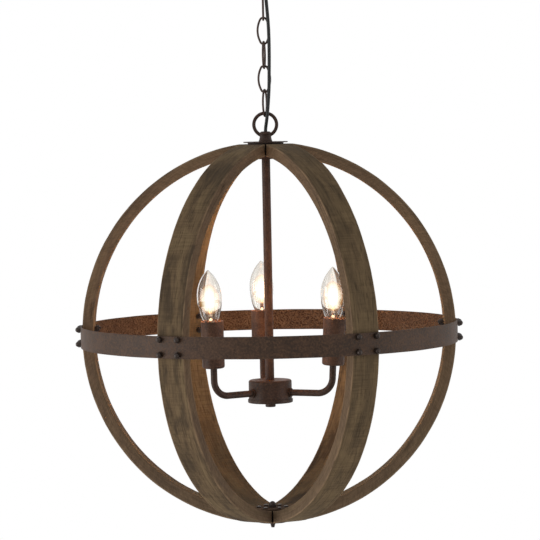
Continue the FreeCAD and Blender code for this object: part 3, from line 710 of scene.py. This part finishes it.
class CHANDELIER_OT_band(bpy.types.Operator):
    """Models the rolled steel band, patinated outside and rusty inside"""

    bl_idname = "chandelier.band"
    bl_label = "Steel band"

    def execute(self, context):
        metal = context.scene.chandelier_metal
        low, high = band_box
        band = primitive(
            "circle",
            "steel_band",
            vertices=BAND_STEPS,
            radius=(high.x - low.x) / 2,
            location=(0, 0, low.z),
            fill_type="NOTHING",
        )
        rise = (high.z - low.z) / BAND_ROWS
        with editing(band, "EDGE"):
            for _ in range(BAND_ROWS):
                bpy.ops.mesh.extrude_region_move(TRANSFORM_OT_translate={"value": (0, 0, rise)})
            bpy.ops.mesh.select_all(action="SELECT")
            bpy.ops.mesh.normals_make_consistent(inside=False)
        applied(band, "SOLIDIFY", "wall", thickness=metal.band_thickness, offset=-1)
        with editing(band):
            for level in (low.z, high.z):
                pick(band, "EDGE", lambda place, z=level: abs(place.z - z) < TOUCH)
                bpy.ops.mesh.bevel(offset=BAND_EDGE, segments=2, profile=0.5, affect="EDGES")
        waves = bpy.data.textures.new("rolling_waves", "CLOUDS")
        waves.noise_scale = BAND_WAVE_SIZE
        applied(
            band,
            "DISPLACE",
            "uneven_edges",
            texture=waves,
            texture_coords="LOCAL",
            direction="Z",
            strength=BAND_WAVE,
        )
        smooth(band, 35)
        materials = [bpy.data.materials[name] for name in ("patinated_steel_strip", "rusted_steel_strip")]
        dressed(band, materials, "globe", ["equator_band"])
        for face in band.data.polygons:
            inwards = face.normal.x * face.center.x + face.normal.y * face.center.y < 0
            face.material_index = int(inwards)
        return {"FINISHED"}


# ---- flex ----

FLEX_DIAMETER = 4.8 * MM
LINK_CENTRES = (-80.6 * MM, -114.6 * MM, -148.6 * MM, -182.6 * MM, -216.6 * MM)
FLEX_SIDES = 20


def flex_line():
    """The flex's own line, from the canopy's hub down to the globe's hub."""
    curve = bpy.data.curves.new("flex_line", "CURVE")
    curve.dimensions = "3D"
    curve.resolution_u = 16
    spline = curve.splines.new("NURBS")
    spline.points.add(len(FLEX_ROUTE) - 1)
    for point, (x, y, height) in zip(spline.points, reversed(FLEX_ROUTE)):
        point.co = (x, y, height + GLOBE, 1)
    spline.order_u = 3
    spline.use_endpoint_u = True
    line = bpy.data.objects.new("flex_line", curve)
    bpy.context.scene.collection.objects.link(line)
    bpy.context.view_layer.update()
    drawn = bpy.data.meshes.new_from_object(line)
    points = [corner.co.copy() for corner in drawn.vertices]
    bpy.data.meshes.remove(drawn)
    bpy.data.objects.remove(line)
    return points


def rings_along(points, radius, sides):
    """Rings of points round a line, none of them twisted against the last."""
    rings = []
    across = Vector((1, 0, 0))
    for number, point in enumerate(points):
        before = points[max(number - 1, 0)]
        after = points[min(number + 1, len(points) - 1)]
        along = (after - before).normalized()
        across = (across - along * across.dot(along)).normalized()
        other = along.cross(across)
        turns = [math.tau * side / sides for side in range(sides)]
        rings.append([point + (across * math.cos(a) + other * math.sin(a)) * radius for a in turns])
    return rings


def tube(name, rings):
    """A closed tube through rings of points."""
    mesh = bpy.data.meshes.new(name)
    sides = len(rings[0])
    faces = []
    for row in range(len(rings) - 1):
        for side in range(sides):
            following = (side + 1) % sides
            low = row * sides
            faces.append((low + side, low + following, low + sides + following, low + sides + side))
    faces.append(tuple(reversed(range(sides))))
    faces.append(tuple(range((len(rings) - 1) * sides, len(rings) * sides)))
    mesh.from_pydata([point for ring in rings for point in ring], [], faces)
    piece = bpy.data.objects.new(name, mesh)
    bpy.context.scene.collection.objects.link(piece)
    return piece


class CHANDELIER_OT_flex(bpy.types.Operator):
    """Models the flex beside the chain, in stretches that end at the links' centres"""

    bl_idname = "chandelier.flex"
    bl_label = "Flex"

    def execute(self, context):
        material = bpy.data.materials["extruded_pvc"]
        points = flex_line()
        rings = rings_along(points, FLEX_DIAMETER / 2, FLEX_SIDES)
        ends = [min(range(len(points)), key=lambda i: abs(points[i].z - z)) for z in LINK_CENTRES]
        ends = [0, *ends, len(points) - 1]
        for number, (first, last) in enumerate(zip(ends, ends[1:])):
            piece = tube(f"flex_{number + 1}", rings[first : last + 1])
            smooth(piece)
            dressed(piece, [material], nodes=["flex_cord"])
            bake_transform(piece)
        return {"FINISHED"}


# ---- carried-over parts ----

CARRIED = {  # the material of each part whose shape stays as it is
    "brown": (
        "canopy_cup orb_loop top_cover_disc top_clamp_disc rod_nuts centre_rod cluster_body "
        "cluster_base_plate cluster_finial_screw arm_nuts"
    ),
    "plate": "top_inner_plate bottom_inner_plate bottom_outer_disc",
    "chain": "canopy_loop chain_link_1 chain_link_2 chain_link_3 chain_link_4 chain_link_5",
    "iron": (
        "plate_screws band_bolts band_dome_nuts band_locknuts bottom_stud bottom_dome_nut bottom_cap_nut"
    ),
    "zinc": "ceiling_bracket canopy_nipple canopy_nuts",
    "flex": "rose_wiring lamp_wiring",
    "plastic": "terminal_block wire_connectors",
}
PER_CANDLE = {"brown": "arm", "sleeve": "candle_sleeve", "ceramic": "lampholder", "nickel": "lamp_cap"}


class CHANDELIER_OT_finishes(bpy.types.Operator):
    """Gives every part that keeps its shape the finish of the real one"""

    bl_idname = "chandelier.finishes"
    bl_label = "Finishes"

    def execute(self, context):
        materials = metal_materials()
        wanted = {node: kind for kind, nodes in CARRIED.items() for node in nodes.split()}
        wanted.update({f"{part}_{name}": kind for kind, part in PER_CANDLE.items() for name in CANDLES})
        for node, kind in wanted.items():
            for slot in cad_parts[node].material_slots:
                slot.material = materials[kind]
        return {"FINISHED"}


# ---- lamps ----

# heights in a lamp, from the tip of its glass
STICK_TOP = -30.0 * MM
STICK_FOOT = -53.0 * MM
STICK_MIDDLE = (STICK_TOP + STICK_FOOT) / 2
STEM_TOP = -60.0 * MM
STEM_FOOT = -76.0 * MM
SEAL = -70.5 * MM
# sizes across a lamp
STICK_RADIUS = 0.9 * MM
STICK_COUNT = 4
HEAD_CIRCLE = 3.6 * MM
FOOT_CIRCLE = 4.8 * MM
WIRE_RADIUS = 0.45 * MM
WIRE_CIRCLE = 1.2 * MM  # where the wires enter the stem
WIRE_DEPTH = 1 * MM
GLARE_RADIUS = 14.8 * MM
GLARE_HALF_HEIGHT = 22.0 * MM
GLARE_LEAN = 0.1  # the share that it loses from its middle to its top, and gains to its foot
GLARE_STEPS = 24
BELLY = -38.0 * MM
NECK = -79.0 * MM
GLASS_RADIUS = 17.5 * MM
NECK_RADIUS = 6.9 * MM
TIP_RADIUS = 2.2 * MM
GLASS_WALL = 0.6 * MM
GLASS_SIDES = 72
STEM_SIDES = 32
SEAL_SIDES = 16
GLARE_SIDES = 48
CLOSED = 86  # degrees from level where the glass and the glare are closed with a flat face
LIGHT_SIZE = 12 * MM
# how far the painted glow of the wires and the seal in the glare is over white: they are no lamps, and it
# stands for the sticks' light on them
WIRE_PAINTED_GLOW = 1.3
SEAL_PAINTED_GLOW = 1.4


def lamp_matrix(name):
    """Turns +Z up a lamp's axis and brings the origin to the tip of its glass."""
    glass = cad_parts[f"lamp_glass_{name}"]
    tip = max((corner.co for corner in glass.data.vertices), key=lambda place: place.z)
    low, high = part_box(f"lamp_cap_{name}")
    axis = tip - (low + high) / 2
    return Matrix.Translation(tip) @ Vector((0, 0, 1)).rotation_difference(axis).to_matrix().to_4x4()


def joined(pieces, name):
    """Joins pieces into the first one."""
    deselect()
    for piece in pieces:
        piece.select_set(True)
    bpy.context.view_layer.objects.active = pieces[0]
    bpy.ops.object.join()
    pieces[0].name = pieces[0].data.name = name
    return pieces[0]


def lying_between(piece, start, end):
    """Moves a piece that stands on the origin, so that it runs from one point to another."""
    turn = Vector((0, 0, 1)).rotation_difference(end - start).to_matrix().to_4x4()
    piece.data.transform(Matrix.Translation(start) @ turn)
    return piece


def round_bar(name, radius, length, sides=12):
    """A bar on the origin with rounded ends."""
    half = length / 2
    piece = primitive("cylinder", name, vertices=sides, radius=radius, depth=length, location=(0, 0, half))
    with editing(piece):
        pick(piece, "EDGE", lambda place: abs(place.z - half) > half - TOUCH)
        bpy.ops.mesh.bevel(offset=radius * 0.6, segments=3, profile=0.5, affect="EDGES")
    smooth(piece)
    return piece


def around_lamp(circle, height, number):
    turn = math.tau * (number + 0.5) / STICK_COUNT
    return Vector((circle * math.cos(turn), circle * math.sin(turn), height))


def lit_sticks():
    """Four sticks that lean together."""
    pieces = []
    for number in range(STICK_COUNT):
        foot = around_lamp(FOOT_CIRCLE, STICK_FOOT, number)
        head = around_lamp(HEAD_CIRCLE, STICK_TOP, number)
        stick = round_bar("stick", STICK_RADIUS, (head - foot).length)
        pieces.append(lying_between(stick, foot, head))
    return joined(pieces, "sticks")


def support_wires():
    """The wires that hold the sticks: a ring over them, one under them, and feet down to the stem."""
    pieces = []
    for circle, height in ((HEAD_CIRCLE, STICK_TOP + WIRE_RADIUS), (FOOT_CIRCLE, STICK_FOOT - WIRE_RADIUS)):
        ring = primitive(
            "torus",
            "ring",
            major_radius=circle,
            minor_radius=WIRE_RADIUS,
            major_segments=32,
            minor_segments=8,
            location=(0, 0, height),
        )
        smooth(ring)
        pieces.append(ring)
    for number in range(STICK_COUNT):
        start = around_lamp(FOOT_CIRCLE, STICK_FOOT, number)
        end = around_lamp(WIRE_CIRCLE, STEM_TOP - WIRE_DEPTH, number)
        wire = round_bar("foot", WIRE_RADIUS, (end - start).length, 8)
        pieces.append(lying_between(wire, start, end))
    return joined(pieces, "wires")


def drawn_up(name, rings, sides, foot="NGON"):
    """A round piece: a circle, filled or not, drawn up through rings of a radius and a height."""
    radius, height = rings[0]
    piece = primitive("circle", name, vertices=sides, radius=radius, fill_type=foot, location=(0, 0, height))
    with editing(piece, "EDGE"):
        for (before, below), (radius, height) in zip(rings, rings[1:]):
            bpy.ops.mesh.extrude_region_move(TRANSFORM_OT_translate={"value": (0, 0, height - below)})
            share = radius / before
            bpy.ops.transform.resize(value=(share, share, 1), center_override=ORIGIN)
        bpy.ops.mesh.edge_face_add()
        bpy.ops.mesh.select_all(action="SELECT")
        bpy.ops.mesh.normals_make_consistent(inside=False)
    return piece


def arc_rings(centre, height, radius, first, last, steps):
    """Rings on an arc from one angle to another, both from level."""
    angles = [first + (last - first) * step / steps for step in range(steps + 1)]
    return [(centre + radius * math.cos(a), height + radius * math.sin(a)) for a in angles]


def glass_bulb():
    """The blown glass: two large arcs from the neck to the tip, and a small one that closes it."""
    waist = GLASS_RADIUS - NECK_RADIUS
    low = (waist**2 + (BELLY - NECK) ** 2) / (2 * waist)
    rise = -TIP_RADIUS - BELLY
    high = (GLASS_RADIUS**2 + rise**2 - TIP_RADIUS**2) / (2 * (GLASS_RADIUS - TIP_RADIUS))
    tip_angle = math.atan2(rise, high - GLASS_RADIUS)
    rings = arc_rings(GLASS_RADIUS - low, BELLY, low, -math.asin((BELLY - NECK) / low), 0, 22)
    rings += arc_rings(GLASS_RADIUS - high, BELLY, high, 0, tip_angle, 26)[1:]
    rings += arc_rings(0, -TIP_RADIUS, TIP_RADIUS, tip_angle, math.radians(CLOSED), 7)[1:]
    bulb = drawn_up("glass", rings, GLASS_SIDES, "NOTHING")
    applied(bulb, "SOLIDIFY", "wall", thickness=GLASS_WALL, offset=-1)
    return bulb


# rings from foot to tip: each one's radius and height, in millimetres
STEM_RINGS = ((5.2, 0), (4.1, 1.5), (3, 3.5), (2.6, 6.5), (2.6, 10), (2.4, 13), (1.9, 15.2), (0.9, 16))
SEAL_RINGS = ((0.4, -1.6), (1, -1.3), (1.4, -0.7), (1.5, 0), (1.35, 0.6), (1, 1.2), (0.55, 1.8), (0.2, 2.3))


def glass_stem():
    """The flared glass foot that the wires are pressed into."""
    rings = [(radius * MM, STEM_FOOT + height * MM) for radius, height in STEM_RINGS]
    return drawn_up("stem", rings, STEM_SIDES)


def seal():
    """The drop where the stem's tube was melted shut, drawn out to a short tip. Its brightness is painted
    lamplight.
    """
    rings = [(radius * MM, SEAL + height * MM) for radius, height in SEAL_RINGS]
    return drawn_up("seal", rings, SEAL_SIDES)


def glare():
    """The egg of glare round the lit sticks, fuller at its foot."""
    rings = []
    for step in range(GLARE_STEPS + 1):
        angle = math.radians(CLOSED * (step / GLARE_STEPS * 2 - 1))
        radius = GLARE_RADIUS * math.cos(angle) * (1 - GLARE_LEAN * math.sin(angle))
        rings.append((radius, STICK_MIDDLE + GLARE_HALF_HEIGHT * math.sin(angle)))
    return drawn_up("glare", rings, GLARE_SIDES)


class CHANDELIER_OT_lamps(bpy.types.Operator):
    """Models the three clear lamps, what glows in them, and their light"""

    bl_idname = "chandelier.lamps"
    bl_label = "Lamps"

    def execute(self, context):
        lamp = context.scene.chandelier_lamp
        # the wires are no lamp: their glow is painted lamplight, standing for the sticks' light on them
        wire = lit_material("wire_in_the_glare", "FFC88C", "FF9848", WIRE_PAINTED_GLOW)
        stick = lit_material("lit_phosphor_stick", "FFF0D2", "FFC27A", lamp.stick)
        # the seal is no lamp: its glow is painted lamplight, standing for the sticks' light caught in it
        drop = lit_material("lit_glass_drop", "FFF2DC", "FFD09A", SEAL_PAINTED_GLOW)
        blown = glass_material("clear_blown_glass", "F1EEE9")
        pressed = glass_material("pressed_glass_stem", "FFE2C4")
        parts = {  # each part with its material, its slot and the part that it stands for
            "glass": (glass_bulb(), blown, "lamp_glass", "glass"),
            "sticks": (lit_sticks(), stick, "filament", "filament"),
            "wires": (support_wires(), wire, "filament", "filament"),
            "stem": (glass_stem(), pressed, "filament", "filament"),
            "seal": (seal(), drop, "filament", "filament"),
            "glare": (glare(), glare_material(), "filament", "filament"),
        }
        for name in CANDLES:
            matrix = lamp_matrix(name)
            for part, (blank, material, slot, node) in parts.items():
                piece = copied(blank, f"lit_{part}_{name}", matrix)
                smooth(piece)
                dressed(piece, [material], f"lamp_{name}", [f"lamp_{node}_{name}"])
            light = bpy.data.lights.new(f"lamp_light_{name}", "POINT")
            light.energy = lamp.power
            light.color = lamp.glow[:3]
            light.shadow_soft_size = LIGHT_SIZE
            source = bpy.data.objects.new(f"lamp_light_{name}", light)
            source.location = matrix @ Vector((0, 0, STICK_MIDDLE))
            context.scene.collection.objects.link(source)
            source.visible_camera = source.visible_glossy = source.visible_transmission = False
            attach(source, f"lamp_{name}")
        for blank, *_ in parts.values():
            bpy.data.objects.remove(blank)
        return {"FINISHED"}


# ---- stage ----

FLOOR = -2.4  # a room's height under the ceiling
FLOOR_SIZE = 14.0
FLOOR_LIFT = 0.35  # how much brighter the camera sees the floor, so that it nears the background's white
SOFT_SIZE = (2.2, 3.0)
SOFT_LIGHTS = (  # each large light with its place and its share of the power
    ("soft_light_left", (-3.0, -0.9, -1.0), 1.0),
    ("soft_light_right", (2.9, -0.5, -1.4), 0.45),
)
PICTURE = 540  # pixels of the picture's side
GLOBE_PIXEL = (269.2, 332.3)  # where the globe's centre lies in the picture
SENSOR = 36.0
NEAREST = 0.05  # the camera sees nothing nearer than this


def world_material():
    """Light from all round, with a white background where the camera, a gloss or glass sees it."""
    stage = bpy.context.scene.chandelier_stage
    world = bpy.data.worlds.new("studio")
    bpy.context.scene.world = world
    world.use_nodes = True
    world.node_tree.nodes.clear()
    ray = add_node(world, "LightPath").outputs
    seen = ray["Is Camera Ray"]
    for kind in ("Is Glossy Ray", "Is Transmission Ray"):
        seen = add_node(world, "Math", {0: seen, 1: ray[kind]}, operation="MAXIMUM").outputs[0]
    strength = add_node(world, "MapRange", {"Value": seen, 3: stage.ambient, 4: 1.0})
    background = add_node(world, "Background", {"Color": WHITE, "Strength": strength.outputs[0]})
    add_node(world, "OutputWorld", {"Surface": background.outputs[0]})


def floor_material():
    """Matt white studio floor, which keeps the object's shadow."""
    material = new_material("matt_white_floor")
    place = add_node(material, "TexCoord").outputs["Object"]
    scuffs = add_node(material, "TexNoise", {"Vector": place, "Scale": 1 / 0.6, "Detail": 2.0})
    tone = add_node(
        material,
        "ValToRGB",
        {"Fac": scuffs.outputs["Fac"]},
        stops=[(0.3, linear("F1F0EE")), (0.7, linear("F5F4F2"))],
    )
    matt = add_node(material, "BsdfDiffuse", {"Color": tone.outputs[0]})
    ray = add_node(material, "LightPath")
    lift = add_node(material, "Math", {0: ray.outputs["Is Camera Ray"], 1: FLOOR_LIFT}, operation="MULTIPLY")
    lit = add_node(material, "Emission", {"Color": WHITE, "Strength": lift.outputs[0]})
    both = add_node(material, "AddShader", {0: matt.outputs[0], 1: lit.outputs[0]})
    return finished(material, both)


def aimed(place, target, up):
    """The matrix of a camera or lamp at a place that looks at a target, with up leaning as given."""
    back = (place - target).normalized()
    right = up.cross(back).normalized()
    turn = Matrix((right, back.cross(right), back)).transposed()
    return Matrix.Translation(place) @ turn.to_4x4()


def add_camera():
    stage = bpy.context.scene.chandelier_stage
    centre = Vector((0, 0, GLOBE))
    a, e = stage.turn, stage.elevation
    back = Vector((math.sin(a) * math.cos(e), -math.cos(a) * math.cos(e), math.sin(e)))
    right = Vector((math.cos(a), math.sin(a), 0))
    up = back.cross(right)
    picture_right = right * math.cos(stage.roll) - up * math.sin(stage.roll)
    picture_up = right * math.sin(stage.roll) + up * math.cos(stage.roll)
    camera = bpy.data.cameras.new("camera")
    camera.lens = stage.lens
    camera.sensor_width = SENSOR
    camera.clip_start = NEAREST
    pixel = SENSOR / PICTURE / stage.lens * stage.distance
    aside = (PICTURE / 2 - GLOBE_PIXEL[0]) * pixel
    above = (GLOBE_PIXEL[1] - PICTURE / 2) * pixel
    target = centre + picture_right * aside + picture_up * above
    holder = bpy.data.objects.new("camera", camera)
    holder.matrix_world = aimed(centre + back * stage.distance, target, picture_up)
    bpy.context.scene.collection.objects.link(holder)
    bpy.context.scene.camera = holder


def add_softbox(name, place, watts):
    light = bpy.data.lights.new(name, "AREA")
    light.shape = "RECTANGLE"
    light.size, light.size_y = SOFT_SIZE
    light.energy = watts
    holder = bpy.data.objects.new(name, light)
    holder.matrix_world = aimed(Vector(place), Vector((0, 0, GLOBE)), Vector((0, 0, 1)))
    holder.visible_camera = False
    bpy.context.scene.collection.objects.link(holder)


class CHANDELIER_OT_stage(bpy.types.Operator):
    """Sets up the floor, the soft light, the background and the camera"""

    bl_idname = "chandelier.stage"
    bl_label = "Studio"

    def execute(self, context):
        stage = context.scene.chandelier_stage
        context.scene.view_settings.view_transform = "Standard"
        world_material()
        floor = primitive("plane", "studio_floor", size=FLOOR_SIZE, location=(0, 0, FLOOR))
        floor.data.materials.append(floor_material())
        for name, place, share in SOFT_LIGHTS:
            add_softbox(name, place, stage.key * share)
        add_camera()
        return {"FINISHED"}


# ---- the add-on ----


class CHANDELIER_PT_panel(bpy.types.Panel):
    """The pieces of the chandelier, in the order in which they are made"""

    bl_idname = "CHANDELIER_PT_panel"
    bl_label = "Orb chandelier"
    bl_space_type = "VIEW_3D"
    bl_region_type = "UI"
    bl_category = "Chandelier"

    def draw(self, context):
        for holder, group in SETTINGS.items():
            column = self.layout.column(align=True)
            for name in group.__annotations__:
                column.prop(getattr(context.scene, holder), name)
        for operator in OPERATORS:
            self.layout.operator(operator.bl_idname)


SETTINGS = {
    "chandelier_wood": WoodSettings,
    "chandelier_metal": MetalSettings,
    "chandelier_lamp": LampSettings,
    "chandelier_stage": StageSettings,
}
OPERATORS = (
    CHANDELIER_OT_stage,
    CHANDELIER_OT_finishes,
    CHANDELIER_OT_flex,
    CHANDELIER_OT_ribs,
    CHANDELIER_OT_band,
    CHANDELIER_OT_lamps,
)
CLASSES = (*SETTINGS.values(), *OPERATORS, CHANDELIER_PT_panel)


def register():
    for made in CLASSES:
        bpy.utils.register_class(made)
    for holder, group in SETTINGS.items():
        setattr(bpy.types.Scene, holder, bpy.props.PointerProperty(type=group))


def unregister():
    for holder in SETTINGS:
        delattr(bpy.types.Scene, holder)
    for made in reversed(CLASSES):
        bpy.utils.unregister_class(made)


def main():
    register()
    deselect()
    for operator in OPERATORS:
        getattr(bpy.ops.chandelier, operator.bl_idname.split(".")[1])()


if __name__ == "__main__":
    main()
